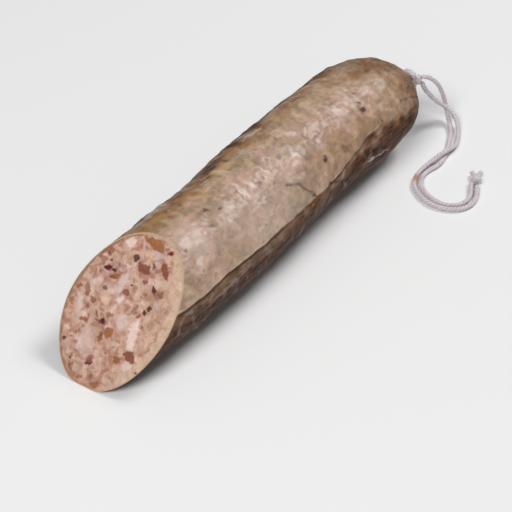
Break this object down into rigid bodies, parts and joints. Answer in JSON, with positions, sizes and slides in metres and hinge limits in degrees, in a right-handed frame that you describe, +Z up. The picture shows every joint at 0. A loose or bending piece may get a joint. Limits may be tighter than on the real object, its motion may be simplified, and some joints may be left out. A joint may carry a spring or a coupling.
{
  "type": "tongue sausage",
  "caption": "Tied end of a cooked tongue sausage, cut on the slant to show its coarse filling, lying on its side with loose butcher's twine.",
  "frame": {"origin": "on the surface that the sausage lies on, under the middle of the food's own box, without the loose twine", "axes": "+X runs along the sausage from the slanted cut to the tied end, +Z is up, and the loose twine lies on the -Y side"},
  "size_m": [0.2731, 0.1058, 0.0553],
  "materials": {
    "casing": "satin",
    "filling": "satin",
    "twine": "matte"
  },
  "bodies": {
    "root": {"casing": "casing", "filling": "filling", "twine_tie": "twine", "twine_strand_a": "twine", "twine_strand_b": "twine", "twine_end_knot": "twine"}
  },
  "joints": []
}
